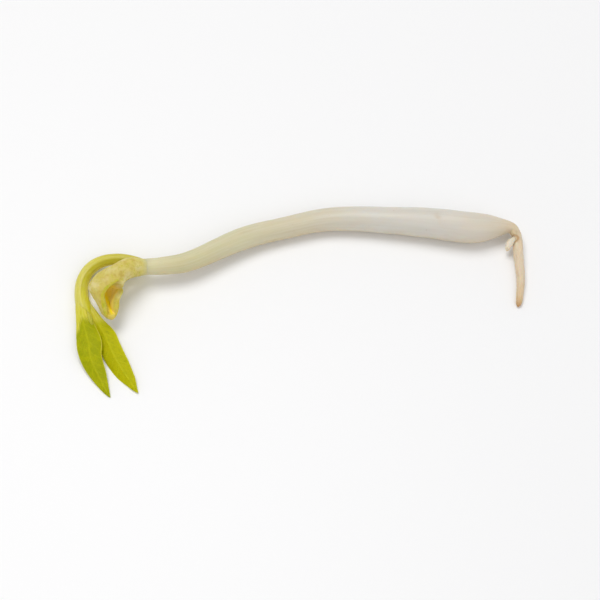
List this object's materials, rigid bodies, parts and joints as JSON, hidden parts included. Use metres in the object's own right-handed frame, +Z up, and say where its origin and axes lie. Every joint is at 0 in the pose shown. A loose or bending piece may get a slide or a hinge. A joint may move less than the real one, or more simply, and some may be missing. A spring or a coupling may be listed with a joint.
{
  "type": "mung bean sprout",
  "caption": "Mung bean sprout lying on its side: thick white stem, arched shoot with folded green leaves, hooked seed leaves and a thin tan root.",
  "frame": {"origin": "on the surface the sprout rests on, under the middle of its outline", "axes": "+X along the stem towards the root, -Y the way the leaves and the root hang, +Z up"},
  "size_m": [0.0546, 0.0254, 0.0054],
  "materials": {
    "stem_flesh": "moist, translucent white, faintly striped along its length",
    "root_skin": "thin tan skin, darker at the tip",
    "rootlet_skin": "pale, smooth",
    "shoot_skin": "yellow-green, satin",
    "seed_leaf": "pale yellow, softly mottled, darker inside",
    "leaf_blade": "lime green with lighter veins and edges",
    "bud_scale": "yellow-green, downy"
  },
  "bodies": {
    "root": {"hypocotyl": "stem_flesh", "taproot": "root_skin", "side_rootlet": "rootlet_skin", "epicotyl": "shoot_skin", "cotyledon_upper": "seed_leaf", "cotyledon_lower": "seed_leaf", "first_leaf_left": "leaf_blade", "first_leaf_right": "leaf_blade", "shoot_tip_bud": "bud_scale"}
  },
  "joints": []
}
